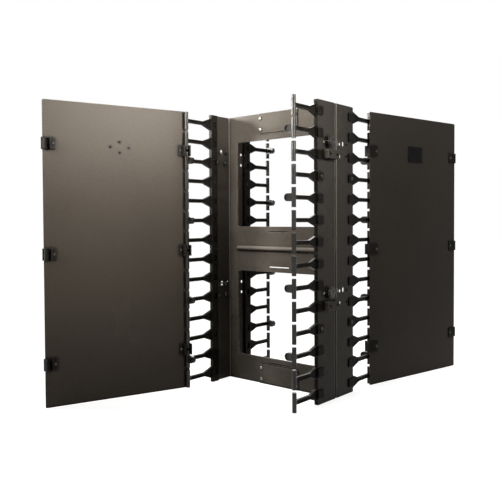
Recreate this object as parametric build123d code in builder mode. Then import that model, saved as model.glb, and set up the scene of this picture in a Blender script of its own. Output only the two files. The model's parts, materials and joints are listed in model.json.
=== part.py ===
from build123d import *
import os
from math import cos, radians, sin

# Vertical cable manager, one 14-unit section. Two steel trays stand back to back, moulded
# finger strips grip their flange edges, and two steel doors hang on the finger bars.
# X runs to the right, Y to the rear and Z up. The origin is on the floor, midway between
# the trays. Both doors stand open on the hinge side that they swing from.

# Rack grid
rack_unit = 44.45
fingers_per_strip = 7
strips_per_corner = 2

# Steel trays
tray_width = 306.0
tray_depth = 65.0
tray_sheet = 2.0
bend_radius = 4.5
window_width = 248.0
window_radius = 5.0
end_rail = 61.0
middle_rail = 104.0
bead_length = 256.0
bead_height = 13.0
bead_rise = 3.0
bead_slope = 30.0
strap_slot = 2.4
strap_slot_length = 59.0
strap_slot_inset = 11.5
join_plate_width = 110.0
join_plate_height = 45.0
join_plate_sheet = 2.0
join_plate_corner = 2.0

# Rack hole patterns in the tray flanges
rack_hole = 7.0
rack_hole_pitch = 25.4
rack_pattern_y = 28.5
rack_pattern_top = 97.0
rack_pattern_units = 7
stud_slot_height = 11.0
stud_rise = 14.0
corner_slot_width = 3.5
corner_slot_height = 9.0
corner_slot_y = 9.0

# Finger strips
bar_inset = 3.0
bar_span_depth = 283.0
bar_diameter = 9.0
bar_gap = 5.5
stalk_height = 8.5
stalk_thickness = 6.0
stalk_rim = 2.0
pocket_depth = 1.6
root_height = 27.0
root_flare = 24.5
flare_round = 12.0
root_lip = 2.5
rail_thickness = 8.0
rail_overlap = 17.0
lug_overlap = 16.5
lug_height = 17.5
lug_thickness = 2.8
lug_round = 1.0
core_width = 12.0
core_height = 15.0
core_depth = 3.0
groove_clearance = 0.15
strip_gap = 1.0
snap_width = 5.0
snap_height = 9.0
snap_clearance = 0.2
retainer_reach = 21.0
retainer_height = 15.5
retainer_thickness = 8.0
retainer_pocket = 2.0
retainer_fingers = (1, 4)

# Doors
front_open_angle = 109.5
rear_open_angle = 102.5
door_sheet = 1.5
door_edge = 7.0
door_end_gap = 1.15
door_corner = 3.0
clip_units = (2, 7, 12)
clip_height = 24.0
clip_back = 2.5
clip_jaw = 3.0
clip_reach = 6.6
clip_clearance = 0.4
clip_round = 1.2
clip_wrap = 2.5
foot_length = 17.0
foot_thickness = 3.0
pad_thickness = 2.5
rivet_place = 12.5
rivet_diameter = 3.5
rivet_head = 6.5
rivet_head_height = 1.3
badge_width = 50.0
badge_height = 38.0
badge_thickness = 1.2
badge_corner = 3.0
badge_top = 89.0
badge_post_span_x = 40.0
badge_post_span_z = 22.0
badge_post = 3.0
push_nut = 7.0
push_nut_height = 1.2

# Fasteners
fit_clearance = 0.25
bolt_diameter = 6.0
bolt_head = 10.0
bolt_head_height = 3.5
nut_width = 10.0
nut_height = 5.0
thread_spare = 1.0
tray_bolt_diameter = 4.0
tray_bolt_head = 7.5
tray_bolt_head_height = 2.2
tray_nut_width = 7.0
tray_nut_height = 3.2
tray_bolt_edge = 5.0
tray_bolt_margin = 8.3
tray_bolt_inset = 11.3
strip_screw_diameter = 4.0
strip_screw_head = 8.0
strip_screw_head_height = 2.4
rack_screw_head = 11.0
rack_screw_head_height = 4.5
rack_screw_reach = 12.0

# Stand-off brackets and hanger studs on the right flange
bracket_width = 40.0
bracket_height = 18.5
bracket_depth = 15.0
bracket_sheet = 2.0
stud_disc = 25.0
stud_disc_height = 3.0
stud_neck = 15.0
stud_neck_height = 3.5
stud_cap = 20.0
stud_cap_height = 2.5

# Worked out from the sizes above
strip_length = fingers_per_strip * rack_unit
height = strips_per_corner * strip_length
flange_face = tray_width / 2
bar_span_width = tray_width - 2 * bar_inset
flange_inside = flange_face - tray_sheet
flange_middle = flange_face - tray_sheet / 2
bar_x = bar_span_width / 2
bar_y = bar_span_depth / 2
rail_inside = flange_face - rail_thickness
lug_face = flange_face + lug_thickness
root_y = tray_depth + root_lip
flare_y = root_y + root_flare
lug_y = tray_depth - lug_overlap / 2
window_height = (height - middle_rail) / 2 - end_rail
window_z = (middle_rail + window_height) / 2
window_edge = middle_rail / 2 + window_height
rack_levels = [height - rack_pattern_top - step * rack_pattern_units * rack_unit for step in (0, 1)]
finger_levels = [(number + 0.5) * rack_unit for number in range(fingers_per_strip)]
screw_level = finger_levels[fingers_per_strip // 2]
snap_levels = [level for level in finger_levels if level != screw_level]
strip_starts = [number * strip_length for number in range(strips_per_corner)]
sheet_face = bar_diameter / 2 + clip_clearance + clip_back
sheet_back = sheet_face + door_sheet
door_height = height - 2 * door_end_gap
badge_z = height - badge_top
clip_levels = [height - units * rack_unit for units in clip_units]
tray_bolt_span = join_plate_width - 2 * tray_bolt_edge
tray_bolt_pitch = join_plate_height - tray_bolt_inset - tray_bolt_margin
bolt_places = [
    (x, z)
    for x in (-tray_bolt_span / 2, tray_bolt_span / 2)
    for inset in (tray_bolt_inset, tray_bolt_inset + tray_bolt_pitch)
    for z in (inset, height - inset)
]

os.makedirs("parts", exist_ok=True)


def save(builder, name):
    builder.part.label = name
    export_step(builder.part, f"parts/{name}.step")


# Both trays: a U channel with two cable windows, a stiffening bead and flange holes
with BuildPart() as tray:
    with BuildSketch():
        Rectangle(tray_width, tray_depth, align=(Align.CENTER, Align.MAX))
        fillet(vertices().group_by(Axis.Y)[-1], bend_radius)
        with Locations((0, -tray_sheet)):
            Rectangle(2 * flange_inside, tray_depth, align=(Align.CENTER, Align.MAX), mode=Mode.SUBTRACT)
        inner_corners = vertices().filter_by_position(Axis.Y, -tray_sheet, -tray_sheet)
        fillet(inner_corners, bend_radius - tray_sheet)
    extrude(amount=height)
    with BuildSketch(Plane.XZ.offset(tray_sheet)):
        with Locations((0, height / 2)):
            SlotOverall(bead_length, bead_height)
    extrude(amount=bead_rise, taper=bead_slope)
    with BuildSketch(Plane.XZ):
        with Locations((0, height / 2)):
            SlotOverall(bead_length - 2 * tray_sheet, bead_height - 2 * tray_sheet)
    extrude(amount=bead_rise, taper=bead_slope, mode=Mode.SUBTRACT)
    with BuildSketch(Plane.XZ):
        with Locations((0, height / 2)):
            with GridLocations(0, 2 * window_z, 1, 2):
                RectangleRounded(window_width, window_height, window_radius)
            with Locations((0, strap_slot_inset - middle_rail / 2)):
                SlotOverall(strap_slot_length, strap_slot)
        with Locations(bolt_places):
            Circle(tray_bolt_diameter / 2 + fit_clearance)
    extrude(amount=tray_sheet, mode=Mode.SUBTRACT)
    with BuildSketch(Plane.YZ.offset(-flange_face)):
        for level in rack_levels:
            with Locations((-rack_pattern_y, level)):
                with GridLocations(rack_hole_pitch, rack_hole_pitch, 2, 2):
                    Circle(rack_hole / 2)
                with Locations((0, stud_rise)):
                    SlotOverall(stud_slot_height, rack_hole, rotation=90)
            with Locations((-corner_slot_y, level + stud_rise)):
                Rectangle(corner_slot_width, corner_slot_height)
        for start in strip_starts:
            with Locations([(-lug_y, start + level) for level in snap_levels]):
                Rectangle(snap_width + 2 * snap_clearance, snap_height + 2 * snap_clearance)
            with Locations((-lug_y, start + screw_level)):
                Circle(strip_screw_diameter / 2 + fit_clearance)
    extrude(amount=tray_width, mode=Mode.SUBTRACT)

# The front tray has two more strap slots than the rear one, which is turned to face the back
with BuildPart() as front_tray:
    add(tray.part)
    with BuildSketch(Plane.XZ):
        with Locations((0, height / 2 + middle_rail / 2 - strap_slot_inset)):
            SlotOverall(strap_slot_length, strap_slot)
        with Locations((0, height / 2 - window_edge - strap_slot_inset)):
            SlotOverall(strap_slot_length, strap_slot)
    extrude(amount=tray_sheet, mode=Mode.SUBTRACT)
save(front_tray, "front_tray")

with BuildPart() as rear_tray:
    with Locations(Location((0, 0, 0), (0, 0, 180))):
        add(tray.part)
save(rear_tray, "rear_tray")

# One moulded finger: a round bar on a flared stalk with a pocket in each side
tip_y = bar_y - bar_diameter / 2 - stalk_rim
base_y = root_y + stalk_rim
pocket_height = stalk_height - 2 * stalk_rim
base_height = root_height - 3 * stalk_rim
with BuildPart() as finger:
    with BuildSketch(Plane.YZ):
        with BuildLine():
            edge = Polyline(
                (-bar_y, stalk_height / 2),
                (-flare_y, stalk_height / 2),
                (-root_y, root_height / 2),
            )
            Polyline(edge @ 1, (-root_y, 0), (-bar_y, 0), edge @ 0)
        make_face()
        mirror(about=Plane.XZ)
        fillet(vertices().filter_by_position(Axis.X, -flare_y, -flare_y), flare_round)
    extrude(amount=stalk_thickness / 2, both=True)
    pocket_planes = [Plane.YZ.offset(x) for x in (stalk_thickness / 2, pocket_depth - stalk_thickness / 2)]
    with BuildSketch(*pocket_planes):
        with BuildLine():
            edge = Polyline(
                (-tip_y, pocket_height / 2),
                (-flare_y, pocket_height / 2),
                (-base_y, base_height / 2),
            )
            Polyline(edge @ 1, (-base_y, 0), (-tip_y, 0), edge @ 0)
        make_face()
        mirror(about=Plane.XZ)
    extrude(amount=-pocket_depth, mode=Mode.SUBTRACT)
    with Locations((0, -bar_y, 0)):
        Cylinder(bar_diameter / 2, rack_unit - bar_gap)

# Lower left front strip: seven fingers on a rail that grips the flange edge, with snap lugs
# through the flange and two retainers that point into the cable channel
with BuildPart() as finger_strip:
    with Locations((-flange_face, -root_y, strip_gap / 2)):
        Box(rail_thickness, root_lip + rail_overlap, strip_length - strip_gap, align=Align.MIN)
    with BuildSketch(Plane.YZ.offset(-lug_face)):
        with Locations([(-root_y + (root_lip + lug_overlap) / 2, level) for level in finger_levels]):
            RectangleRounded(root_lip + lug_overlap, lug_height, lug_round)
    extrude(amount=lug_thickness + rail_thickness)
    with Locations((-flange_middle, -tray_depth - groove_clearance, strip_length / 2)):
        Box(
            tray_sheet + 2 * groove_clearance,
            tray_depth,
            strip_length,
            align=(Align.CENTER, Align.MIN, Align.CENTER),
            mode=Mode.SUBTRACT,
        )
    with Locations([(-lug_face, -lug_y, level) for level in snap_levels]):
        Box(
            lug_thickness + rail_thickness,
            snap_width,
            snap_height,
            align=(Align.MIN, Align.CENTER, Align.CENTER),
        )
    with BuildSketch(Plane.YZ.offset(-lug_face)):
        with Locations((-lug_y, screw_level)):
            Circle(strip_screw_diameter / 2 + fit_clearance)
    extrude(amount=lug_thickness + rail_thickness, mode=Mode.SUBTRACT)
    with BuildSketch(Plane.YZ.offset(-rail_inside)):
        with Locations([(-lug_y, level) for level in snap_levels]):
            Rectangle(core_width, core_height)
    extrude(amount=-core_depth, mode=Mode.SUBTRACT)
    with Locations([(-bar_x, 0, level) for level in finger_levels]):
        add(finger.part)
    with BuildSketch(Plane.XZ.offset(bar_y - retainer_thickness / 2)):
        for number in retainer_fingers:
            with Locations((-bar_x, finger_levels[number])):
                straight = retainer_reach - retainer_height / 2
                Rectangle(straight, retainer_height, align=(Align.MIN, Align.CENTER))
                with Locations((straight, 0)):
                    Circle(retainer_height / 2)
    extrude(amount=retainer_thickness)
    with BuildSketch(Plane.XZ.offset(bar_y + retainer_thickness / 2)):
        for number in retainer_fingers:
            with Locations((-bar_x + retainer_reach - retainer_height / 2, finger_levels[number])):
                Circle(retainer_height / 2 - stalk_rim)
    extrude(amount=-retainer_pocket, mode=Mode.SUBTRACT)

# The same moulding serves all four corners: turned over on the right, turned round at the rear
corner_turns = {
    "front_left": Location((0, 0, 0), (0, 0, 0)),
    "front_right": Location((0, 0, strip_length), (0, 180, 0)),
    "rear_right": Location((0, 0, 0), (0, 0, 180)),
    "rear_left": Location((0, 0, strip_length), (180, 0, 0)),
}
for corner, turn in corner_turns.items():
    for level_name, start in zip(("lower", "upper"), strip_starts):
        with BuildPart() as corner_strip:
            with Locations(Location((0, 0, start)) * turn):
                add(finger_strip.part)
        save(corner_strip, f"finger_strip_{corner}_{level_name}")

# Plates on the end rails that join one section to the next, with the bolts that clamp
# plate and trays together
for plate_name, end in (("lower", 0), ("upper", height - join_plate_height)):
    with BuildPart() as join_plate:
        with BuildSketch(Plane.XZ.offset(tray_sheet)):
            with Locations((0, end + join_plate_height / 2)):
                RectangleRounded(join_plate_width, join_plate_height, join_plate_corner)
            with Locations([place for place in bolt_places if end < place[1] < end + join_plate_height]):
                Circle(tray_bolt_diameter / 2 + fit_clearance, mode=Mode.SUBTRACT)
        extrude(amount=join_plate_sheet)
    save(join_plate, f"join_plate_{plate_name}")

with BuildPart() as tray_bolts:
    with BuildSketch(Plane.XZ.offset(tray_sheet + join_plate_sheet)):
        with Locations(bolt_places):
            Circle(tray_bolt_head / 2)
    extrude(amount=tray_bolt_head_height)
    with BuildSketch(Plane.XZ.offset(tray_sheet + join_plate_sheet)):
        with Locations(bolt_places):
            Circle(tray_bolt_diameter / 2)
    extrude(amount=-(join_plate_sheet + 2 * tray_sheet + tray_nut_height + thread_spare))
save(tray_bolts, "tray_bolts")

with BuildPart() as tray_nuts:
    with BuildSketch(Plane.XZ.offset(-tray_sheet)):
        with Locations(bolt_places):
            RegularPolygon(tray_nut_width / 2, 6, major_radius=False)
            Circle(tray_bolt_diameter / 2 + fit_clearance, mode=Mode.SUBTRACT)
    extrude(amount=-tray_nut_height)
save(tray_nuts, "tray_nuts")

# Screws that pin each strip's middle lug to its flange
screw_places = [
    (y, start + screw_level)
    for y in (-lug_y, lug_y)
    for start in strip_starts
]
with BuildPart() as strip_screws:
    for side in (1, -1):
        with BuildSketch(Plane.YZ.offset(side * lug_face)):
            with Locations(screw_places):
                Circle(strip_screw_head / 2)
        extrude(amount=side * strip_screw_head_height)
        with BuildSketch(Plane.YZ.offset(side * lug_face)):
            with Locations(screw_places):
                Circle(strip_screw_diameter / 2)
        extrude(amount=-side * (lug_thickness + rail_thickness))
save(strip_screws, "strip_screws")

# Screws in the left front hole patterns, driven outwards from inside the channel
with BuildPart() as rack_screws:
    with BuildSketch(Plane.YZ.offset(-flange_inside)):
        for level in rack_levels:
            with Locations((-rack_pattern_y, level)):
                with GridLocations(rack_hole_pitch, rack_hole_pitch, 2, 2):
                    Circle(rack_screw_head / 2)
    extrude(amount=rack_screw_head_height)
    with BuildSketch(Plane.YZ.offset(-flange_inside)):
        for level in rack_levels:
            with Locations((-rack_pattern_y, level)):
                with GridLocations(rack_hole_pitch, rack_hole_pitch, 2, 2):
                    Circle(bolt_diameter / 2)
    extrude(amount=-(tray_sheet + rack_screw_reach))
save(rack_screws, "rack_screws")

# Stand-off brackets: short box sections on the lower row of the right front patterns
for bracket_name, level in zip(("upper", "lower"), rack_levels):
    row = level - rack_hole_pitch / 2
    with BuildPart() as bracket:
        with BuildSketch(Plane.XY.offset(row - bracket_height / 2)):
            with Locations((flange_face, -rack_pattern_y)):
                Rectangle(bracket_depth, bracket_width, align=(Align.MIN, Align.CENTER))
            with Locations((flange_face + bracket_sheet, -rack_pattern_y)):
                Rectangle(
                    bracket_depth - 2 * bracket_sheet,
                    bracket_width - 2 * bracket_sheet,
                    align=(Align.MIN, Align.CENTER),
                    mode=Mode.SUBTRACT,
                )
        extrude(amount=bracket_height)
        with BuildSketch(Plane.YZ.offset(flange_face)):
            with Locations((-rack_pattern_y, row)):
                with GridLocations(rack_hole_pitch, 0, 2, 1):
                    Circle(bolt_diameter / 2 + fit_clearance)
        extrude(amount=bracket_depth, mode=Mode.SUBTRACT)
    save(bracket, f"standoff_bracket_{bracket_name}")

with BuildPart() as bracket_screws:
    for level in rack_levels:
        with BuildSketch(Plane.YZ.offset(flange_face + bracket_sheet)):
            with Locations((-rack_pattern_y, level - rack_hole_pitch / 2)):
                with GridLocations(rack_hole_pitch, 0, 2, 1):
                    Circle(bolt_head / 2)
        extrude(amount=bolt_head_height)
        with BuildSketch(Plane.YZ.offset(flange_face + bracket_sheet)):
            with Locations((-rack_pattern_y, level - rack_hole_pitch / 2)):
                with GridLocations(rack_hole_pitch, 0, 2, 1):
                    Circle(bolt_diameter / 2)
        extrude(amount=-(bracket_sheet + tray_sheet + nut_height + thread_spare))
save(bracket_screws, "bracket_screws")

with BuildPart() as bracket_nuts:
    with BuildSketch(Plane.YZ.offset(flange_inside)):
        for level in rack_levels:
            with Locations((-rack_pattern_y, level - rack_hole_pitch / 2)):
                with GridLocations(rack_hole_pitch, 0, 2, 1):
                    RegularPolygon(nut_width / 2, 6, major_radius=False)
                    Circle(bolt_diameter / 2 + fit_clearance, mode=Mode.SUBTRACT)
    extrude(amount=-nut_height)
save(bracket_nuts, "bracket_nuts")

# Hanger studs: stepped discs on a stem that passes through the slot of the pattern
for stud_name, level in zip(("upper", "lower"), rack_levels):
    with BuildPart() as stud:
        step = flange_face
        for diameter, thickness in (
            (stud_disc, stud_disc_height),
            (stud_neck, stud_neck_height),
            (stud_disc, stud_disc_height),
            (stud_cap, stud_cap_height),
        ):
            with BuildSketch(Plane.YZ.offset(step)):
                with Locations((-rack_pattern_y, level + stud_rise)):
                    Circle(diameter / 2)
            extrude(amount=thickness)
            step += thickness
        with BuildSketch(Plane.YZ.offset(flange_face)):
            with Locations((-rack_pattern_y, level + stud_rise)):
                Circle(bolt_diameter / 2)
        extrude(amount=-(tray_sheet + nut_height + thread_spare))
    save(stud, f"hanger_stud_{stud_name}")

with BuildPart() as stud_nuts:
    with BuildSketch(Plane.YZ.offset(flange_inside)):
        with Locations([(-rack_pattern_y, level + stud_rise) for level in rack_levels]):
            RegularPolygon(nut_width / 2, 6, major_radius=False)
            Circle(bolt_diameter / 2 + fit_clearance, mode=Mode.SUBTRACT)
    extrude(amount=-nut_height)
save(stud_nuts, "hanger_stud_nuts")

# Door pieces, drawn in the door's own frame: X runs from the hinge bar to the far bar,
# Y points into the channel when the door is shut, and the bar axis is the origin
badge_x = bar_span_width / 2
post_places = [
    (badge_x - badge_post_span_x / 2, badge_z),
    (badge_x + badge_post_span_x / 2, badge_z),
    (badge_x, badge_z - badge_post_span_z / 2),
    (badge_x, badge_z + badge_post_span_z / 2),
]
rivet_columns = (rivet_place, bar_span_width - rivet_place)
rivet_places = [(x, level) for x in rivet_columns for level in clip_levels]

with BuildPart() as panel:
    with BuildSketch(Plane.XZ.offset(sheet_face)):
        with Locations((bar_span_width / 2, height / 2)):
            RectangleRounded(bar_span_width + 2 * door_edge, door_height, door_corner)
        with Locations(rivet_places):
            Circle(rivet_diameter / 2 + fit_clearance, mode=Mode.SUBTRACT)
        with Locations(post_places):
            Circle(badge_post / 2 + fit_clearance, mode=Mode.SUBTRACT)
    extrude(amount=door_sheet)

# Hinge clip: a U jaw that slips over the ends of two bars. It wraps the edge of the sheet,
# with a riveted foot inside and a pad outside
with BuildPart() as clip:
    channel = bar_diameter / 2 + clip_clearance
    with BuildSketch(Plane.XY.offset(-clip_height / 2)):
        with Locations((0, -sheet_face)):
            Rectangle(2 * (channel + clip_jaw), sheet_face + clip_reach, align=(Align.CENTER, Align.MIN))
        fillet(vertices().group_by(Axis.Y)[-1], clip_round)
        with Locations((-door_edge - clip_wrap, -sheet_face + foot_thickness)):
            Rectangle(
                door_edge + clip_wrap + foot_length,
                foot_thickness + door_sheet + pad_thickness,
                align=(Align.MIN, Align.MAX),
            )
        fillet(vertices().group_by(Axis.Y)[0], clip_round)
        with Locations((-door_edge - groove_clearance, -sheet_face)):
            Rectangle(
                door_edge + groove_clearance + foot_length,
                door_sheet,
                align=(Align.MIN, Align.MAX),
                mode=Mode.SUBTRACT,
            )
        Circle(channel, mode=Mode.SUBTRACT)
        Rectangle(2 * channel, clip_reach, align=(Align.CENTER, Align.MIN), mode=Mode.SUBTRACT)
    extrude(amount=clip_height)
    with BuildSketch(Plane.XZ.offset(sheet_face - foot_thickness)):
        with Locations((rivet_place, 0)):
            Circle(rivet_diameter / 2 + fit_clearance)
    extrude(amount=foot_thickness + door_sheet + pad_thickness, mode=Mode.SUBTRACT)

with BuildPart() as rivets:
    with BuildSketch(Plane.XZ.offset(sheet_face - foot_thickness)):
        with Locations(rivet_places):
            Circle(rivet_head / 2)
    extrude(amount=-rivet_head_height)
    with BuildSketch(Plane.XZ.offset(sheet_face - foot_thickness)):
        with Locations(rivet_places):
            Circle(rivet_diameter / 2)
    extrude(amount=foot_thickness + door_sheet + pad_thickness)
    with BuildSketch(Plane.XZ.offset(sheet_back + pad_thickness)):
        with Locations(rivet_places):
            Circle(rivet_head / 2)
    extrude(amount=rivet_head_height)

with BuildPart() as badge:
    with BuildSketch(Plane.XZ.offset(sheet_back)):
        with Locations((badge_x, badge_z)):
            RectangleRounded(badge_width, badge_height, badge_corner)
    extrude(amount=badge_thickness)
    with BuildSketch(Plane.XZ.offset(sheet_back)):
        with Locations(post_places):
            Circle(badge_post / 2)
    extrude(amount=-(door_sheet + push_nut_height + thread_spare))

with BuildPart() as push_nuts:
    with BuildSketch(Plane.XZ.offset(sheet_face)):
        with Locations(post_places):
            Circle(push_nut / 2)
            Circle(badge_post / 2 + fit_clearance, mode=Mode.SUBTRACT)
    extrude(amount=-push_nut_height)

# Each door hangs on a hinge bar and stands open about it
door_planes = {
    "front": Plane(
        (-bar_x, -bar_y, 0),
        x_dir=(cos(radians(front_open_angle)), -sin(radians(front_open_angle)), 0),
        z_dir=(0, 0, 1),
    ),
    "rear": Plane(
        (bar_x, bar_y, 0),
        x_dir=(-cos(radians(rear_open_angle)), sin(radians(rear_open_angle)), 0),
        z_dir=(0, 0, 1),
    ),
}
door_pieces = {
    "door_panel": panel,
    "door_rivets": rivets,
    "door_badge": badge,
    "badge_push_nuts": push_nuts,
}
for door, plane in door_planes.items():
    for piece_name, piece in door_pieces.items():
        with BuildPart() as door_piece:
            with Locations(plane):
                add(piece.part)
        save(door_piece, f"{door}_{piece_name}")
    for level_name, level in zip(("upper", "middle", "lower"), clip_levels):
        with BuildPart() as hinge_clip:
            with Locations(Location(plane) * Location((0, 0, level))):
                add(clip.part)
        save(hinge_clip, f"{door}_hinge_clip_{level_name}")
        with BuildPart() as latch_clip:
            with Locations(Location(plane) * Location((bar_span_width, 0, level))):
                add(mirror(clip.part, about=Plane.YZ, mode=Mode.PRIVATE))
        save(latch_clip, f"{door}_latch_clip_{level_name}")
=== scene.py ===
import json
from math import atan2, cos, degrees, hypot, pi, radians, sin

import bmesh
import bpy
from mathutils import Matrix, Vector


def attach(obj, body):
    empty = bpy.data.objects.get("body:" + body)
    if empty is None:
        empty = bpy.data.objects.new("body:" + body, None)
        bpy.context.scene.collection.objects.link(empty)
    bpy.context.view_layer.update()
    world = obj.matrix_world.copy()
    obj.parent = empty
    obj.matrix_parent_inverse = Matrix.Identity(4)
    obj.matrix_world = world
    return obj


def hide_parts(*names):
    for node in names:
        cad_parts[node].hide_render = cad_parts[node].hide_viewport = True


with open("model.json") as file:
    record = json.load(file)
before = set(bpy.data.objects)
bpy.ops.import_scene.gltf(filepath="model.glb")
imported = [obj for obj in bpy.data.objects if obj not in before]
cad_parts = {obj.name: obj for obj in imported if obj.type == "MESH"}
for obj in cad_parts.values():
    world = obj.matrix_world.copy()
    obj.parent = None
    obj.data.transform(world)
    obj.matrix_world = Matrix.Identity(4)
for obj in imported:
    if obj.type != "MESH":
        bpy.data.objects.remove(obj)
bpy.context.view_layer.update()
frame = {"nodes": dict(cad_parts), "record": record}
nodes = frame["nodes"]
print("frame loaded:", len(nodes), "nodes")


# Camera at the photograph's viewing angle

cameraView = {
    "place": (0.8901, -1.1133, 0.3788),
    "tilt": 88.524,
    "turn": 39.502,
    "roll": -0.233,
    "lens": 45.43,
    "sensor": 36.0,
    "shift": (-0.0391, -0.0280),  # the picture is cut a little off its lens axis
    "farClip": 50.0,
}

cameraData = bpy.data.cameras.new("viewCamera")
cameraData.lens = cameraView["lens"]
cameraData.sensor_width = cameraView["sensor"]
cameraData.shift_x, cameraData.shift_y = cameraView["shift"]
cameraData.clip_end = cameraView["farClip"]
camera = bpy.data.objects.new("viewCamera", cameraData)
camera.location = cameraView["place"]
cameraTurn = (
    Matrix.Rotation(radians(cameraView["turn"]), 3, "Z")
    @ Matrix.Rotation(radians(cameraView["tilt"]), 3, "X")
    @ Matrix.Rotation(radians(cameraView["roll"]), 3, "Z")
)
camera.rotation_euler = cameraTurn.to_euler()
bpy.context.scene.collection.objects.link(camera)
bpy.context.scene.camera = camera
bpy.context.scene.view_settings.view_transform = "Standard"
print("camera set")


# Shader helpers

def addNode(tree, kind, **settings):
    node = tree.nodes.new(kind)
    for key, value in settings.items():
        setattr(node, key, value)
    return node


def setInputs(node, **values):
    for key, value in values.items():
        node.inputs[key.replace("_", " ")].default_value = value
    return node


def mathNode(tree, operation, first, second=None, clamp=False):
    node = addNode(tree, "ShaderNodeMath", operation=operation, use_clamp=clamp)
    for socket, value in zip(node.inputs, (first, second)):
        if value is None:
            continue
        if isinstance(value, (int, float)):
            socket.default_value = value
        else:
            tree.links.new(value, socket)
    return node.outputs[0]


def rangeNode(tree, value, source, target=(0.0, 1.0)):
    node = addNode(tree, "ShaderNodeMapRange")
    tree.links.new(value, node.inputs["Value"])
    setInputs(node, From_Min=source[0], From_Max=source[1], To_Min=target[0], To_Max=target[1])
    return node.outputs["Result"]


def noiseNode(tree, vector, scale, detail=2.0, rough=0.5):
    node = addNode(tree, "ShaderNodeTexNoise")
    tree.links.new(vector, node.inputs["Vector"])
    setInputs(node, Detail=detail, Roughness=rough)
    if isinstance(scale, (int, float)):
        node.inputs["Scale"].default_value = scale
    else:
        tree.links.new(scale, node.inputs["Scale"])
    return node.outputs["Fac"]


def mixColour(tree, mask, first, second):
    node = addNode(tree, "ShaderNodeMix", data_type="RGBA")
    tree.links.new(mask, node.inputs["Factor"])
    for socket, value in zip(node.inputs[6:8], (first, second)):  # the two colour sockets
        if isinstance(value, tuple):
            socket.default_value = (*value, 1.0)
        else:
            tree.links.new(value, socket)
    return node.outputs[2]  # the mixed colour


def newGroup(name, inputs, outputs):
    group = bpy.data.node_groups.new(name, "ShaderNodeTree")
    for label, value in inputs.items():
        socket = group.interface.new_socket(label, in_out="INPUT", socket_type="NodeSocketFloat")
        socket.default_value = value
    for label, kind in outputs.items():
        group.interface.new_socket(label, in_out="OUTPUT", socket_type=kind)
    return group, group.nodes.new("NodeGroupInput"), group.nodes.new("NodeGroupOutput")


def placeGroup(tree, group, **values):
    node = tree.nodes.new("ShaderNodeGroup")
    node.node_tree = group
    return setInputs(node, **values)


# Shared surface effects

# fine grain of sprayed or moulded skin, with slow blotches of tone
skinMix = {"coarseScale": 0.35, "speckRange": (0.35, 0.65)}
skinGroup, skinIn, skinOut = newGroup(
    "skinGrain", {"Grain": 900.0, "Blotch": 9.0},
    {"Height": "NodeSocketFloat", "Tone": "NodeSocketFloat", "Speck": "NodeSocketFloat"},
)
skinPlace = addNode(skinGroup, "ShaderNodeTexCoord").outputs["Object"]
skinFine = noiseNode(skinGroup, skinPlace, skinIn.outputs["Grain"], detail=3.0, rough=0.6)
skinWide = mathNode(skinGroup, "MULTIPLY", skinIn.outputs["Grain"], skinMix["coarseScale"])
skinCoarse = noiseNode(skinGroup, skinPlace, skinWide)
skinHeight = mathNode(skinGroup, "ADD", skinFine, skinCoarse)
skinTone = noiseNode(skinGroup, skinPlace, skinIn.outputs["Blotch"], detail=4.0, rough=0.55)
skinSpeck = rangeNode(skinGroup, skinCoarse, skinMix["speckRange"])
skinGroup.links.new(skinHeight, skinOut.inputs["Height"])
skinGroup.links.new(skinTone, skinOut.inputs["Tone"])
skinGroup.links.new(skinSpeck, skinOut.inputs["Speck"])

# rounded edges, and a pale line along them that is partly rubbed wear and partly painted edge highlight
edgeWearSheenMix = {"samples": 6, "bendRange": (0.98, 0.80), "patchRange": (0.42, 0.62), "patchWearSheen": (0.15, 1.0)}
edgeGroup, edgeIn, edgeOut = newGroup(
    "edgeWearAndSheen", {"Radius": 0.0006, "Break": 60.0},
    {"Mask": "NodeSocketFloat", "Rounded": "NodeSocketVector"},
)
edgeBevel = addNode(edgeGroup, "ShaderNodeBevel", samples=edgeWearSheenMix["samples"])
edgeGroup.links.new(edgeIn.outputs["Radius"], edgeBevel.inputs["Radius"])
edgeFlat = addNode(edgeGroup, "ShaderNodeNewGeometry").outputs["Normal"]
edgeDot = addNode(edgeGroup, "ShaderNodeVectorMath", operation="DOT_PRODUCT")
edgeGroup.links.new(edgeBevel.outputs["Normal"], edgeDot.inputs[0])
edgeGroup.links.new(edgeFlat, edgeDot.inputs[1])
edgeSharp = rangeNode(edgeGroup, edgeDot.outputs["Value"], edgeWearSheenMix["bendRange"])
edgePlace = addNode(edgeGroup, "ShaderNodeTexCoord").outputs["Object"]
edgeNoise = noiseNode(edgeGroup, edgePlace, edgeIn.outputs["Break"], detail=4.0, rough=0.65)
edgeBroken = rangeNode(edgeGroup, edgeNoise, edgeWearSheenMix["patchRange"], edgeWearSheenMix["patchWearSheen"])
edgeWearSheenMask = mathNode(edgeGroup, "MULTIPLY", edgeSharp, edgeBroken, clamp=True)
edgeGroup.links.new(edgeWearSheenMask, edgeOut.inputs["Mask"])
edgeGroup.links.new(edgeBevel.outputs["Normal"], edgeOut.inputs["Rounded"])

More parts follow.
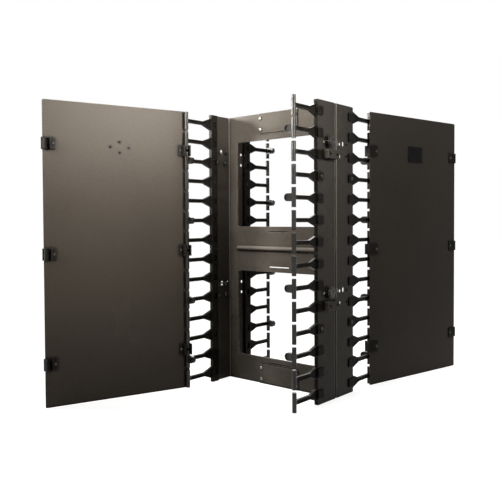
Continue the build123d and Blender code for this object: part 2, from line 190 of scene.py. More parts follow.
# thin dust that settles on faces that look up
dustMix = {"slopeRange": (0.4, 1.0), "patchScale": 45.0, "patchRange": (0.3, 0.7), "patchCover": (0.3, 1.0)}
dustGroup, dustIn, dustOut = newGroup("settledDust", {"Amount": 0.3}, {"Mask": "NodeSocketFloat"})
dustNormal = addNode(dustGroup, "ShaderNodeNewGeometry").outputs["Normal"]
dustSplit = addNode(dustGroup, "ShaderNodeSeparateXYZ")
dustGroup.links.new(dustNormal, dustSplit.inputs[0])
dustUp = rangeNode(dustGroup, dustSplit.outputs["Z"], dustMix["slopeRange"])
dustPlace = addNode(dustGroup, "ShaderNodeTexCoord").outputs["Object"]
dustNoise = noiseNode(dustGroup, dustPlace, dustMix["patchScale"], detail=5.0, rough=0.6)
dustPatch = rangeNode(dustGroup, dustNoise, dustMix["patchRange"], dustMix["patchCover"])
dustMask = mathNode(dustGroup, "MULTIPLY", dustUp, dustPatch)
dustMask = mathNode(dustGroup, "MULTIPLY", dustMask, dustIn.outputs["Amount"], clamp=True)
dustGroup.links.new(dustMask, dustOut.inputs["Mask"])

# painted shade: a dark line, darkened by ambient occlusion, where one piece meets the next and in tight
# corners
seamShadeMix = {"samples": 6, "shadeRange": (0.95, 0.62)}
seamShadeGroup, seamShadeIn, seamShadeOut = newGroup(
    "paintedSeamShade", {"Reach": 0.008, "Amount": 0.8}, {"Mask": "NodeSocketFloat"},
)
seamShade = addNode(seamShadeGroup, "ShaderNodeAmbientOcclusion", samples=seamShadeMix["samples"])
seamShadeGroup.links.new(seamShadeIn.outputs["Reach"], seamShade.inputs["Distance"])
seamShadeMask = rangeNode(seamShadeGroup, seamShade.outputs["AO"], seamShadeMix["shadeRange"])
seamShadeMask = mathNode(seamShadeGroup, "MULTIPLY", seamShadeMask, seamShadeIn.outputs["Amount"], clamp=True)
seamShadeGroup.links.new(seamShadeMask, seamShadeOut.inputs["Mask"])

# outer bars of the fingers, kept shiny by the clips and cables that slide along them
polishMix = {"patchRange": (0.35, 0.6), "patchShine": (0.6, 1.0)}
polishGroup, polishIn, polishOut = newGroup(
    "slidePolish", {"Start": 0.136, "Full": 0.138, "Break": 40.0, "Amount": 1.0},
    {"Mask": "NodeSocketFloat"},
)
polishPlace = addNode(polishGroup, "ShaderNodeTexCoord").outputs["Object"]
polishSplit = addNode(polishGroup, "ShaderNodeSeparateXYZ")
polishGroup.links.new(polishPlace, polishSplit.inputs[0])
polishOuter = addNode(polishGroup, "ShaderNodeMapRange")
polishReach = mathNode(polishGroup, "ABSOLUTE", polishSplit.outputs["Y"])
polishGroup.links.new(polishReach, polishOuter.inputs["Value"])
polishGroup.links.new(polishIn.outputs["Start"], polishOuter.inputs["From Min"])
polishGroup.links.new(polishIn.outputs["Full"], polishOuter.inputs["From Max"])
polishNoise = noiseNode(polishGroup, polishPlace, polishIn.outputs["Break"], detail=3.0, rough=0.55)
polishBroken = rangeNode(polishGroup, polishNoise, polishMix["patchRange"], polishMix["patchShine"])
polishMask = mathNode(polishGroup, "MULTIPLY", polishOuter.outputs["Result"], polishBroken)
polishMask = mathNode(polishGroup, "MULTIPLY", polishMask, polishIn.outputs["Amount"], clamp=True)
polishGroup.links.new(polishMask, polishOut.inputs["Mask"])

# round crown of the pressed stiffening bead across the web as a bump, with a painted highlight on its top
# and painted shade under it
crownMix = {"rimRange": (1.8, 1.9), "topHighlightRange": (0.1, 0.5), "underShadeRange": (-0.1, -0.5)}
crownGroup, crownIn, crownOut = newGroup(
    "beadCrownAndPaintedLight", {"Level": 0.311, "Half": 0.005, "Spine": 0.12, "Rise": 0.0},
    {"Height": "NodeSocketFloat", "PaintedTopHighlight": "NodeSocketFloat", "PaintedUnderShade": "NodeSocketFloat"},
)
crownPlace = addNode(crownGroup, "ShaderNodeTexCoord").outputs["Object"]
crownSplit = addNode(crownGroup, "ShaderNodeSeparateXYZ")
crownGroup.links.new(crownPlace, crownSplit.inputs[0])
crownReach = mathNode(crownGroup, "ABSOLUTE", crownSplit.outputs["X"])
crownReach = mathNode(crownGroup, "SUBTRACT", crownReach, crownIn.outputs["Spine"])
crownReach = mathNode(crownGroup, "MAXIMUM", crownReach, 0.0)
crownDrop = mathNode(crownGroup, "SUBTRACT", crownSplit.outputs["Z"], crownIn.outputs["Level"])
crownAcross = mathNode(crownGroup, "MULTIPLY", crownReach, crownReach)
crownDown = mathNode(crownGroup, "MULTIPLY", crownDrop, crownDrop)
crownSquare = mathNode(crownGroup, "ADD", crownAcross, crownDown)
crownHalf = mathNode(crownGroup, "MULTIPLY", crownIn.outputs["Half"], crownIn.outputs["Half"])
crownFall = mathNode(crownGroup, "DIVIDE", crownSquare, crownHalf)
crownHeight = mathNode(crownGroup, "SUBTRACT", 1.0, crownFall, clamp=True)
crownHeight = mathNode(crownGroup, "MULTIPLY", crownHeight, crownIn.outputs["Rise"])
crownGroup.links.new(crownHeight, crownOut.inputs["Height"])
crownInside = rangeNode(crownGroup, crownFall, crownMix["rimRange"], (1.0, 0.0))
crownSide = mathNode(crownGroup, "DIVIDE", crownDrop, crownIn.outputs["Half"])
crownTopHighlight = rangeNode(crownGroup, crownSide, crownMix["topHighlightRange"])
crownUnderShade = rangeNode(crownGroup, crownSide, crownMix["underShadeRange"])
crownTopHighlight = mathNode(crownGroup, "MULTIPLY", crownTopHighlight, crownInside)
crownUnderShade = mathNode(crownGroup, "MULTIPLY", crownUnderShade, crownInside)
crownGroup.links.new(crownTopHighlight, crownOut.inputs["PaintedTopHighlight"])
crownGroup.links.new(crownUnderShade, crownOut.inputs["PaintedUnderShade"])

# painted highlight: a pale line along the folded corners between web and flanges
foldHighlightGroup, foldIn, foldOut = newGroup(
    "paintedFoldHighlight", {"Corner": 0.150, "Width": 0.0012, "Shallow": 0.0, "Depth": 0.006, "Amount": 0.5},
    {"Mask": "NodeSocketFloat"},
)
foldPlace = addNode(foldHighlightGroup, "ShaderNodeTexCoord").outputs["Object"]
foldSplit = addNode(foldHighlightGroup, "ShaderNodeSeparateXYZ")
foldHighlightGroup.links.new(foldPlace, foldSplit.inputs[0])
foldOff = mathNode(foldHighlightGroup, "ABSOLUTE", foldSplit.outputs["X"])
foldOff = mathNode(foldHighlightGroup, "SUBTRACT", foldOff, foldIn.outputs["Corner"])
foldOff = mathNode(foldHighlightGroup, "ABSOLUTE", foldOff)
foldOff = mathNode(foldHighlightGroup, "DIVIDE", foldOff, foldIn.outputs["Width"])
foldLine = mathNode(foldHighlightGroup, "SUBTRACT", 1.0, foldOff, clamp=True)
foldDeep = mathNode(foldHighlightGroup, "ABSOLUTE", foldSplit.outputs["Y"])
foldNear = mathNode(foldHighlightGroup, "LESS_THAN", foldDeep, foldIn.outputs["Depth"])
foldPast = mathNode(foldHighlightGroup, "GREATER_THAN", foldDeep, foldIn.outputs["Shallow"])
foldHighlightMask = mathNode(foldHighlightGroup, "MULTIPLY", foldNear, foldPast)
foldHighlightMask = mathNode(foldHighlightGroup, "MULTIPLY", foldLine, foldHighlightMask)
foldHighlightMask = mathNode(foldHighlightGroup, "MULTIPLY", foldHighlightMask, foldIn.outputs["Amount"])
foldHighlightGroup.links.new(foldHighlightMask, foldOut.inputs["Mask"])
print("surface effects built")


# Finishes

finishMix = {"toneRange": (0.3, 0.7), "roughRange": (0.25, 0.75), "dustDull": 0.3}


def makeFinish(name, look):
    material = bpy.data.materials.new(name)
    material.use_nodes = True
    tree = material.node_tree
    shader = tree.nodes["Principled BSDF"]
    skin = placeGroup(tree, skinGroup, Grain=look["grain"], Blotch=look["blotch"])
    edge = placeGroup(tree, edgeGroup, Radius=look["edgeRadius"], Break=look["edgeBreak"])
    dust = placeGroup(tree, dustGroup, Amount=look["dust"])
    tone = rangeNode(tree, skin.outputs["Tone"], finishMix["toneRange"])
    colour = mixColour(tree, tone, look["dark"], look["light"])
    speck = mathNode(tree, "MULTIPLY", skin.outputs["Speck"], look["speck"])
    colour = mixColour(tree, speck, colour, look["speckColour"])
    # pale edge line: partly worn coat, partly painted edge highlight
    edgeWearSheen = mathNode(tree, "MULTIPLY", edge.outputs["Mask"], look["edgeWearSheen"])
    colour = mixColour(tree, edgeWearSheen, colour, look["wearAndHighlightColour"])
    colour = mixColour(tree, dust.outputs["Mask"], colour, look["dustColour"])
    # painted shade in seams, corners and where pieces meet
    seamShading = placeGroup(tree, seamShadeGroup, Reach=look["seamShadeReach"], Amount=look["seamShading"])
    colour = mixColour(tree, seamShading.outputs["Mask"], colour, look["seamShadeColour"])
    if "crown" in look:
        crown = placeGroup(tree, crownGroup, **look["crown"])
        # painted highlight on the bead's top and painted shade under it
        upper = mathNode(tree, "MULTIPLY", crown.outputs["PaintedTopHighlight"], look["crownHighlight"])
        beadUnderShade = mathNode(tree, "MULTIPLY", crown.outputs["PaintedUnderShade"], look["crownShade"])
        colour = mixColour(tree, upper, colour, look["wearAndHighlightColour"])
        colour = mixColour(tree, beadUnderShade, colour, look["seamShadeColour"])
        # painted highlight lines along the bent corners
        for line in look["foldHighlights"]:
            foldHighlight = placeGroup(tree, foldHighlightGroup, **line)
            colour = mixColour(tree, foldHighlight.outputs["Mask"], colour, look["wearAndHighlightColour"])
    tree.links.new(colour, shader.inputs["Base Color"])
    roughSpan = (look["roughLow"], look["roughHigh"])
    rough = rangeNode(tree, skin.outputs["Tone"], finishMix["roughRange"], roughSpan)
    dull = mathNode(tree, "MULTIPLY", dust.outputs["Mask"], finishMix["dustDull"])
    tree.links.new(mathNode(tree, "ADD", rough, dull, clamp=True), shader.inputs["Roughness"])
    bump = addNode(tree, "ShaderNodeBump")
    setInputs(bump, Strength=look["bump"], Distance=look["bumpDepth"])
    tree.links.new(skin.outputs["Height"], bump.inputs["Height"])
    normal = edge.outputs["Rounded"]
    if "crown" in look:
        crownBump = setInputs(addNode(tree, "ShaderNodeBump"), Strength=1.0, Distance=1.0)
        tree.links.new(crown.outputs["Height"], crownBump.inputs["Height"])
        tree.links.new(normal, crownBump.inputs["Normal"])
        normal = crownBump.outputs["Normal"]
    tree.links.new(normal, bump.inputs["Normal"])
    if "polish" in look:
        polish = placeGroup(tree, polishGroup, **look["polish"])
        tree.links.new(polish.outputs["Mask"], shader.inputs["Coat Weight"])
        shader.inputs["Coat Roughness"].default_value = look["polishRough"]
    tree.links.new(bump.outputs["Normal"], shader.inputs["Normal"])
    shader.inputs["Metallic"].default_value = look["metal"]
    shader.inputs["Specular IOR Level"].default_value = look["specular"]
    shader.inputs["Specular Tint"].default_value = (*look["specularTint"], 1.0)
    return material


# in these looks the darkest colour is painted shade for seams and corners, and the pale edge colour serves
# worn edges and painted highlights
trayCoatLook = {
    "dark": (0.0530, 0.0464, 0.0390), "light": (0.0620, 0.0548, 0.0468), "speck": 0.30,
    "speckColour": (0.092, 0.080, 0.066), "edgeWearSheen": 0.85, "wearAndHighlightColour": (0.36, 0.33, 0.29),
    "dust": 0.25, "dustColour": (0.22, 0.21, 0.19), "grain": 950.0, "blotch": 11.0,
    "seamShading": 0.85, "seamShadeReach": 0.007, "seamShadeColour": (0.009, 0.0075, 0.006),
    "edgeRadius": 0.0013, "edgeBreak": 55.0, "roughLow": 0.25, "roughHigh": 0.30,
    "bump": 0.10, "bumpDepth": 0.0002, "metal": 0.0, "specular": 0.06,
    "specularTint": (1.0, 0.93, 0.86),
}
# the web's coat adds the bead's painted highlight and painted shade, and painted highlight lines along its
# bent corners
webCoatLook = dict(
    trayCoatLook, crown={"Level": 0.31115, "Half": 0.0048, "Spine": 0.1215, "Rise": 0.0036},
    crownHighlight=0.28, crownShade=0.8,
    foldHighlights=(
        {"Corner": 0.1498, "Width": 0.0014, "Shallow": 0.0019, "Depth": 0.0060, "Amount": 0.45},
        {"Corner": 0.1525, "Width": 0.0011, "Shallow": 0.0008, "Depth": 0.0046, "Amount": 0.85},
    ),
)
doorCoatLook = dict(
    trayCoatLook, dark=(0.057, 0.0475, 0.0378), light=(0.067, 0.0565, 0.0458), blotch=6.0,
    edgeRadius=0.0005, roughLow=0.23, roughHigh=0.28, specular=0.07,
)
# the darkest colour here is painted shade for corners and roots, and the pale edge colour serves worn edges
# and painted highlights
fingerLook = {
    "dark": (0.0125, 0.0113, 0.0095), "light": (0.0205, 0.0186, 0.0156), "speck": 0.15,
    "speckColour": (0.026, 0.024, 0.021), "edgeWearSheen": 0.85, "wearAndHighlightColour": (0.19, 0.18, 0.16),
    "dust": 0.12, "dustColour": (0.16, 0.15, 0.135), "grain": 1500.0, "blotch": 26.0,
    "seamShading": 0.7, "seamShadeReach": 0.006, "seamShadeColour": (0.0015, 0.0014, 0.0012),
    "edgeRadius": 0.0008, "edgeBreak": 90.0, "roughLow": 0.25, "roughHigh": 0.31,
    "bump": 0.05, "bumpDepth": 0.0002, "metal": 0.0, "specular": 0.03,
    "specularTint": (1.0, 0.94, 0.88),
}
barLook = dict(
    fingerLook, polish={"Start": 0.1355, "Full": 0.1375, "Break": 40.0, "Amount": 0.65},
    polishRough=0.25,
)
clipLook = dict(
    fingerLook, dark=(0.018, 0.0167, 0.0148), light=(0.027, 0.025, 0.022),
    speckColour=(0.042, 0.039, 0.035), roughLow=0.26, roughHigh=0.34,
)
badgeLook = dict(
    fingerLook, dark=(0.0030, 0.0037, 0.0056), light=(0.0042, 0.0050, 0.0074), grain=600.0,
    roughLow=0.16, roughHigh=0.26, bump=0.03, speck=0.05, dust=0.1, specular=0.05,
)
# the darkest colour here is painted shade in corners, and the pale edge colour serves worn edges and
# painted highlights
steelLook = {
    "dark": (0.16, 0.15, 0.135), "light": (0.30, 0.285, 0.26), "speck": 0.2,
    "speckColour": (0.42, 0.40, 0.37), "edgeWearSheen": 0.6, "wearAndHighlightColour": (0.62, 0.60, 0.57),
    "dust": 0.15, "dustColour": (0.22, 0.21, 0.19), "grain": 2200.0, "blotch": 160.0,
    "seamShading": 0.6, "seamShadeReach": 0.003, "seamShadeColour": (0.03, 0.028, 0.025),
    "edgeRadius": 0.0003, "edgeBreak": 220.0, "roughLow": 0.24, "roughHigh": 0.40,
    "bump": 0.10, "bumpDepth": 0.0001, "metal": 0.9, "specular": 0.5,
    "specularTint": (1.0, 1.0, 1.0),
}
darkSteelLook = dict(
    steelLook, dark=(0.022, 0.0205, 0.018), light=(0.055, 0.052, 0.046),
    speckColour=(0.10, 0.094, 0.084), wearAndHighlightColour=(0.40, 0.385, 0.36),
)
finishes = {
    "tray_coat": makeFinish("trayPowderCoat", trayCoatLook),
    "door_coat": makeFinish("doorPowderCoat", doorCoatLook),
    "finger_plastic": makeFinish("fingerPlastic", barLook),
    "clip_plastic": makeFinish("clipPlastic", clipLook),
    "badge_plastic": makeFinish("badgeGloss", badgeLook),
    "fastener_steel": makeFinish("zincSteel", steelLook),
}
darkSteel = makeFinish("blackenedSteel", darkSteelLook)
webCoat = makeFinish("webPowderCoat", webCoatLook)
beadedTrays = ("front_tray", "rear_tray")
for row in frame["record"]["subparts"]:
    node = nodes[row["node"]]
    beaded = row["node"] in beadedTrays
    node.data.materials.clear()
    node.data.materials.append(webCoat if beaded else finishes[row["material_slot"]])
print("finishes on", len(nodes), "nodes")


# Small hardware, turned and pressed at its places in the frame, in millimetres

mm = 0.001
mergeReach = 1e-6
sharpAngle = 32.0
crossDrive = {
    "arms": {0: 1.0, 15: 1.0, 30: 0.518, 45: 0.366, 60: 0.518, 75: 1.0},  # reach by angle, one quarter
    "taper": 0.7, "reach": 0.56, "depth": 0.55,
}
screwForm = {
    "steps": 24, "tip": (0.75, 0.4),
    "crown": (  # share of the head's radius and of its rise
        (0.97, 0.0), (1.0, 0.06), (1.0, 0.42), (0.95, 0.66), (0.84, 0.86), (0.70, 0.97), (0.62, 1.0),
    ),
}
nutForm = {"steps": 12, "chamfer": (0.86, 0.13), "mouth": (1.12, 0.08), "outer": 0.95}


def turnProfile(profile, steps):
    bm = bmesh.new()
    ring = [bm.verts.new((radius * mm, 0.0, rise * mm)) for radius, rise in profile]
    line = [bm.edges.new(pair) for pair in zip(ring, ring[1:])]
    bmesh.ops.spin(
        bm, geom=ring + line, cent=(0.0, 0.0, 0.0), axis=(0.0, 0.0, 1.0), angle=2.0 * pi,
        steps=steps, use_merge=True,
    )
    bmesh.ops.remove_doubles(bm, verts=bm.verts, dist=mergeReach)
    return bm


def openEdges(bm):
    return [edge for edge in bm.edges if edge.is_boundary]


def newVerts(result):
    return [item for item in result["geom"] if isinstance(item, bmesh.types.BMVert)]


# drive recess in the open top of a turned head
def cutCross(bm, reach, depth):
    outline = newVerts(bmesh.ops.extrude_edge_only(bm, edges=openEdges(bm)))
    for vert in outline:
        angle = round(degrees(atan2(vert.co.y, vert.co.x))) % 90
        shrink = reach * mm * crossDrive["arms"][angle] / hypot(vert.co.x, vert.co.y)
        vert.co.x *= shrink
        vert.co.y *= shrink
    floorRing = newVerts(bmesh.ops.extrude_edge_only(bm, edges=openEdges(bm)))
    bmesh.ops.translate(bm, vec=(0.0, 0.0, -depth * mm), verts=floorRing)
    bmesh.ops.scale(bm, vec=(crossDrive["taper"], crossDrive["taper"], 1.0), verts=floorRing)
    bmesh.ops.contextual_create(bm, geom=openEdges(bm))


def screwShape(look):
    head, rise, shank, reach = look["head"] / 2, look["rise"], look["shank"] / 2, look["reach"]
    tipWidth, tipRise = screwForm["tip"]
    profile = [(0.0, -reach), (shank * tipWidth, -reach), (shank, -reach + shank * tipRise), (shank, 0.0)]
    profile += [(head * across, rise * up) for across, up in screwForm["crown"]]
    bm = turnProfile(profile, screwForm["steps"])
    cutCross(bm, head * crossDrive["reach"], rise * crossDrive["depth"])
    return bm


def nutShape(look):
    corner, bore, rise = look["width"] / 2 / cos(pi / 6), look["bore"] / 2, look["rise"]
    flatWidth, flatRise = corner * nutForm["chamfer"][0], rise * nutForm["chamfer"][1]
    mouthWidth, mouthRise = bore * nutForm["mouth"][0], rise * nutForm["mouth"][1]
    profile = [
        (bore, mouthRise), (mouthWidth, 0.0), (flatWidth, 0.0), (corner, flatRise),
        (corner, rise - flatRise), (flatWidth, rise), (mouthWidth, rise), (bore, rise - mouthRise),
        (bore, mouthRise),
    ]
    bm = turnProfile(profile, nutForm["steps"])
    for vert in bm.verts:  # every second outer corner goes in to the middle of a flat
        angle = round(degrees(atan2(vert.co.y, vert.co.x))) % 60
        if angle == 30 and hypot(vert.co.x, vert.co.y) > corner * nutForm["outer"] * mm:
            vert.co.x *= cos(pi / 6)
            vert.co.y *= cos(pi / 6)
    return bm


def aimed(place, axis):
    turn = Vector(axis).to_track_quat("Z", "Y").to_matrix().to_4x4()
    return Matrix.Translation(Vector(place) * mm) @ turn


def repeatShape(shape, places, bm=None):
    pattern = bpy.data.meshes.new("pattern")
    shape.to_mesh(pattern)
    shape.free()
    if bm is None:
        bm = bmesh.new()
    for place in places:
        first = len(bm.verts)
        bm.from_mesh(pattern)
        bm.verts.ensure_lookup_table()
        bmesh.ops.transform(bm, matrix=place, verts=bm.verts[first:])
    bpy.data.meshes.remove(pattern)
    return bm


def addPiece(bm, name, body, slot, node, finish=None):
    bmesh.ops.recalc_face_normals(bm, faces=bm.faces)
    mesh = bpy.data.meshes.new(name)
    bm.to_mesh(mesh)
    bm.free()
    mesh.shade_smooth()
    mesh.set_sharp_from_angle(angle=radians(sharpAngle))
    mesh.materials.append(finish or finishes[slot])
    piece = bpy.data.objects.new(name, mesh)
    bpy.context.scene.collection.objects.link(piece)
    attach(piece, body)
    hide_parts(node)


trayBolts = {
    "head": 7.5, "rise": 2.2, "shank": 4.0, "reach": 10.2, "seat": -4.0, "across": 50.0,
    "levels": (11.3, 36.7, 585.6, 611.0),
}
boltRows = [(side * trayBolts["across"], level) for side in (-1, 1) for level in trayBolts["levels"]]
boltPlaces = [aimed((x, trayBolts["seat"], z), (0, -1, 0)) for x, z in boltRows]
addPiece(
    repeatShape(screwShape(trayBolts), boltPlaces),
    "trayBoltSet", "frame", "fastener_steel", "tray_bolts",
)
trayNuts = {"width": 7.0, "bore": 4.5, "rise": 3.2, "seat": 2.0}
trayNutPlaces = [aimed((x, trayNuts["seat"], z), (0, 1, 0)) for x, z in boltRows]
addPiece(
    repeatShape(nutShape(trayNuts), trayNutPlaces),
    "trayNutSet", "frame", "fastener_steel", "tray_nuts",
)

stripScrews = {
    "head": 8.0, "rise": 2.4, "shank": 4.0, "reach": 10.8, "seat": 155.8, "lug": 56.75,
    "levels": (155.575, 466.725),
}
stripPlaces = [
    aimed((side * stripScrews["seat"], end * stripScrews["lug"], level), (side, 0, 0))
    for side in (-1, 1) for end in (-1, 1) for level in stripScrews["levels"]
]
addPiece(
    repeatShape(screwShape(stripScrews), stripPlaces),
    "stripScrewSet", "frame", "fastener_steel", "strip_screws", darkSteel,
)

rackPattern = {"depth": -28.5, "half": 12.7, "levels": (525.3, 214.15), "studRise": 14.0}
patternColumns = [rackPattern["depth"] + side * rackPattern["half"] for side in (-1, 1)]
rackScrews = {"head": 11.0, "rise": 4.5, "shank": 6.0, "reach": 14.0, "seat": -151.0}
rackPlaces = [
    aimed((rackScrews["seat"], y, level + side * rackPattern["half"]), (1, 0, 0))
    for y in patternColumns for level in rackPattern["levels"] for side in (-1, 1)
]
addPiece(
    repeatShape(screwShape(rackScrews), rackPlaces),
    "rackScrewSet", "frame", "fastener_steel", "rack_screws", darkSteel,
)

bracketScrews = {"head": 10.0, "rise": 3.5, "shank": 6.0, "reach": 10.0, "seat": 155.0}
bracketRows = [(y, level - rackPattern["half"]) for y in patternColumns for level in rackPattern["levels"]]
bracketPlaces = [aimed((bracketScrews["seat"], y, z), (1, 0, 0)) for y, z in bracketRows]
addPiece(
    repeatShape(screwShape(bracketScrews), bracketPlaces),
    "bracketScrewSet", "frame", "fastener_steel", "bracket_screws", darkSteel,
)
flangeNuts = {"width": 10.0, "bore": 6.5, "rise": 5.0, "seat": 151.0}
bracketNutPlaces = [aimed((flangeNuts["seat"], y, z), (-1, 0, 0)) for y, z in bracketRows]
addPiece(
    repeatShape(nutShape(flangeNuts), bracketNutPlaces),
    "bracketNutSet", "frame", "fastener_steel", "bracket_nuts",
)
studRows = [(rackPattern["depth"], level + rackPattern["studRise"]) for level in rackPattern["levels"]]
studNutPlaces = [aimed((flangeNuts["seat"], y, z), (-1, 0, 0)) for y, z in studRows]
addPiece(
    repeatShape(nutShape(flangeNuts), studNutPlaces),
    "studNutSet", "frame", "fastener_steel", "hanger_stud_nuts",
)

# stepped spool: two rims with a neck between them, and a cap with a dished end
hangerStud = {"seat": 153.0, "steps": 40, "profile": [
    (0.0, -8.0), (2.3, -8.0), (3.0, -7.2), (3.0, 0.0), (11.9, 0.0), (12.4, 0.3), (12.5, 0.8),
    (12.5, 2.2), (12.3, 2.8), (11.7, 3.0), (8.3, 3.0), (7.7, 3.2), (7.5, 3.7), (7.5, 5.8),
    (7.7, 6.3), (8.3, 6.5), (11.7, 6.5), (12.3, 6.7), (12.5, 7.3), (12.5, 8.7), (12.3, 9.3),
    (11.7, 9.5), (10.4, 9.5), (10.1, 9.7), (10.0, 10.2), (10.0, 11.3), (9.8, 11.8), (9.2, 12.0),
    (6.2, 12.0), (5.6, 11.8), (4.6, 10.6), (4.0, 10.3), (0.0, 10.2),
]}
for end, (y, z) in zip(("upper", "lower"), studRows):
    studShape = turnProfile(hangerStud["profile"], hangerStud["steps"])
    addPiece(
        repeatShape(studShape, [aimed((hangerStud["seat"], y, z), (1, 0, 0))]),
        "hangerStud." + end, "frame", "fastener_steel", "hanger_stud_" + end, darkSteel,
    )
print("frame hardware turned")

# door hardware, in each door's own axes: along the sheet from its hinge, out of its inner face, up
doorAxes = {
    "front": {"hinge": (-150.0, -141.5, 0.0), "side": 1.0, "open": 109.5},
    "rear": {"hinge": (150.0, 141.5, 0.0), "side": -1.0, "open": 102.5},
}
rivetLook = {"columns": (12.5, 287.5), "levels": (533.4, 311.15, 88.9), "steps": 20, "profile": [
    (0.0, -12.7), (1.4, -12.6), (2.5, -12.2), (3.1, -11.7), (3.25, -11.4), (1.75, -11.4), (1.75, -4.4),
    (3.25, -4.4), (3.1, -4.1), (2.5, -3.6), (1.4, -3.2), (0.0, -3.1),
]}
badgeShape = {
    "centre": (150.0, -8.9, 533.3), "width": 50.0, "height": 38.0, "thick": 1.2,
    "corner": 3.0, "cornerSteps": 5, "edge": 0.35, "edgeSteps": 3,
    "rim": 1.6, "dish": 0.25, "dishSlope": 0.3,
    "posts": ((-20.0, 0.0), (20.0, 0.0), (0.0, -11.0), (0.0, 11.0)), "postSteps": 16,
    "postProfile": [(0.0, 3.7), (1.1, 3.7), (1.5, 3.3), (1.5, -0.2), (0.0, -0.2)],
}
pushNut = {"seat": 1.5, "steps": 20, "profile": [
    (1.6, 0.0), (3.2, 0.0), (3.5, 0.3), (3.4, 0.7), (2.6, 0.8), (1.9, 1.2), (1.6, 1.1), (1.6, 0.0),
]}


def plateShape(look):
    bm = bmesh.new()
    bmesh.ops.create_grid(bm, x_segments=1, y_segments=1, size=0.5)
    bmesh.ops.scale(bm, vec=(look["width"] * mm, look["height"] * mm, 1.0), verts=bm.verts)
    bmesh.ops.bevel(
        bm, geom=bm.verts[:], offset=look["corner"] * mm, affect="VERTICES",
        segments=look["cornerSteps"], profile=0.5, material=-1,
    )
    bmesh.ops.solidify(bm, geom=bm.faces[:], thickness=look["thick"] * mm)
    bmesh.ops.recalc_face_normals(bm, faces=bm.faces)
    lowest = min(vert.co.z for vert in bm.verts)
    bmesh.ops.translate(bm, vec=(0.0, 0.0, -lowest), verts=bm.verts)
    topFace = max(bm.faces, key=lambda face: face.calc_center_median().z)
    bmesh.ops.bevel(
        bm, geom=topFace.edges[:], offset=look["edge"] * mm, affect="EDGES",
        segments=look["edgeSteps"], profile=0.5, material=-1,
    )
    topFace = max(bm.faces, key=lambda face: (round(face.calc_center_median().z, 6), face.calc_area()))
    bmesh.ops.inset_individual(bm, faces=[topFace], thickness=look["rim"] * mm, depth=0.0)
    bmesh.ops.inset_individual(
        bm, faces=[topFace], thickness=look["dishSlope"] * mm, depth=-look["dish"] * mm,
    )
    return bm


def moved(x, y, z):
    return Matrix.Translation(Vector((x, y, z)) * mm)


up = Vector((0.0, 0.0, 1.0))
inward = Matrix.Rotation(radians(-90.0), 4, "X")
outward = Matrix.Rotation(radians(90.0), 4, "X")
for door, axes in doorAxes.items():
    swing = radians(axes["open"])
    along = axes["side"] * Vector((cos(swing), -sin(swing), 0.0))
    turn = Matrix((along, up.cross(along), up)).transposed().to_4x4()
    doorPlace = moved(*axes["hinge"]) @ turn
    rivetPlaces = [
        doorPlace @ moved(x, 0.0, z) @ inward
        for x in rivetLook["columns"] for z in rivetLook["levels"]
    ]
    addPiece(
        repeatShape(turnProfile(rivetLook["profile"], rivetLook["steps"]), rivetPlaces),
        door + "RivetSet", door + "_door", "fastener_steel", door + "_door_rivets", darkSteel,
    )
    badgePlace = doorPlace @ moved(*badgeShape["centre"])
    postPlaces = [badgePlace @ moved(x, 0.0, z) @ inward for x, z in badgeShape["posts"]]
    badge = repeatShape(plateShape(badgeShape), [badgePlace @ outward])
    repeatShape(turnProfile(badgeShape["postProfile"], badgeShape["postSteps"]), postPlaces, badge)
    addPiece(badge, door + "Badge", door + "_door", "badge_plastic", door + "_door_badge")
    nutPlaces = [place @ moved(0.0, 0.0, pushNut["seat"]) for place in postPlaces]
    addPiece(
        repeatShape(turnProfile(pushNut["profile"], pushNut["steps"]), nutPlaces),
        door + "PushNutSet", door + "_door", "fastener_steel", door + "_badge_push_nuts", darkSteel,
    )
print("door hardware turned")


# Stage: pale floor, white surroundings and soft lamps

white = (1.0, 1.0, 1.0, 1.0)
stageLook = {
    "floorSize": 8.0, "floorColour": (0.42, 0.42, 0.41), "floorRough": 0.9,
    "fadeRange": (0.45, 1.8), "glowRange": (0.88, 1.0),  # floor's own white, near and far
    "ambient": 0.08, "lampColour": (1.0, 0.97, 0.93),
}
lamps = [
    {"name": "doorSoftbox", "place": (1.83, -0.36, 1.09), "aim": (-0.25, -0.40, 0.64),
     "size": 0.7, "power": 2.35, "spread": 25.0},
    {"name": "rearSoftbox", "place": (1.75, -0.15, 1.25), "aim": (0.19, 0.31, 0.70),
     "size": 0.5, "power": 0.10, "spread": 22.0},
    {"name": "channelSoftbox", "place": (1.0, -0.75, 1.0), "aim": (-0.15, -0.04, 0.55),
     "size": 0.25, "power": 0.14, "spread": 15.0},
    {"name": "frontSoftbox", "place": (-0.05, -1.5, 0.95), "aim": (0.0, 0.0, 0.70),
     "size": 0.5, "power": 3.4, "spread": 46.0},
    {"name": "leftSoftbox", "place": (-1.62, -1.2, 0.92), "aim": (0.05, -0.05, 0.60),
     "size": 0.4, "power": 9.0, "spread": 60.0},
    {"name": "topSoftbox", "place": (-0.1, -0.6, 2.1), "aim": (0.0, -0.05, 0.6),
     "size": 0.6, "power": 1.2, "spread": 30.0},
    {"name": "backSoftbox", "place": (-1.3, 1.6, 1.5), "aim": (0.0, 0.0, 0.35),
     "size": 1.0, "power": 9.0, "spread": 90.0},
]


def lightMask(tree):
    path = addNode(tree, "ShaderNodeLightPath")
    mask = mathNode(tree, "MAXIMUM", path.outputs["Is Camera Ray"], path.outputs["Is Glossy Ray"])
    return mathNode(tree, "MAXIMUM", mask, path.outputs["Is Transmission Ray"])


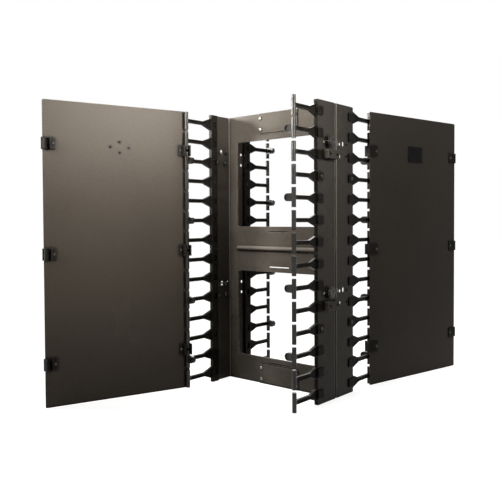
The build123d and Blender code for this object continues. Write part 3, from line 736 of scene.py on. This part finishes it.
world = bpy.data.worlds.new("studioWorld")
bpy.context.scene.world = world
world.use_nodes = True
skyTree = world.node_tree
skyGlow = skyTree.nodes["Background"]
skyGlow.inputs["Color"].default_value = white
skyLevel = rangeNode(skyTree, lightMask(skyTree), (0.0, 1.0), (stageLook["ambient"], 1.0))
skyTree.links.new(skyLevel, skyGlow.inputs["Strength"])

floorMesh = bpy.data.meshes.new("studioFloor")
floorBm = bmesh.new()
bmesh.ops.create_grid(floorBm, x_segments=2, y_segments=2, size=stageLook["floorSize"])
floorBm.to_mesh(floorMesh)
floorBm.free()
floor = bpy.data.objects.new("studioFloor", floorMesh)
bpy.context.scene.collection.objects.link(floor)
floorPaint = bpy.data.materials.new("paleFloor")
floorPaint.use_nodes = True
floorTree = floorPaint.node_tree
floorShader = floorTree.nodes["Principled BSDF"]
floorShader.inputs["Base Color"].default_value = (*stageLook["floorColour"], 1.0)
floorShader.inputs["Roughness"].default_value = stageLook["floorRough"]
floorShader.inputs["Specular IOR Level"].default_value = 0.0
floorShader.inputs["Emission Color"].default_value = white
floorPlace = addNode(floorTree, "ShaderNodeTexCoord").outputs["Object"]
floorReach = addNode(floorTree, "ShaderNodeVectorMath", operation="LENGTH")
floorTree.links.new(floorPlace, floorReach.inputs[0])
floorGlow = rangeNode(
    floorTree, floorReach.outputs["Value"], stageLook["fadeRange"], stageLook["glowRange"],
)
floorLift = mathNode(floorTree, "MULTIPLY", lightMask(floorTree), floorGlow)
floorTree.links.new(floorLift, floorShader.inputs["Emission Strength"])
floorMesh.materials.append(floorPaint)

for lamp in lamps:
    lampData = bpy.data.lights.new(lamp["name"], "AREA")
    lampData.shape = "SQUARE"
    lampData.size = lamp["size"]
    lampData.energy = lamp["power"]
    lampData.spread = radians(lamp["spread"])
    lampData.color = stageLook["lampColour"]
    lampObject = bpy.data.objects.new(lamp["name"], lampData)
    lampObject.location = lamp["place"]
    lampAim = Vector(lamp["aim"]) - Vector(lamp["place"])
    lampObject.rotation_euler = lampAim.to_track_quat("-Z", "Y").to_euler()
    lampObject.visible_camera = False
    bpy.context.scene.collection.objects.link(lampObject)
print("stage lit by", len(lamps), "lamps")
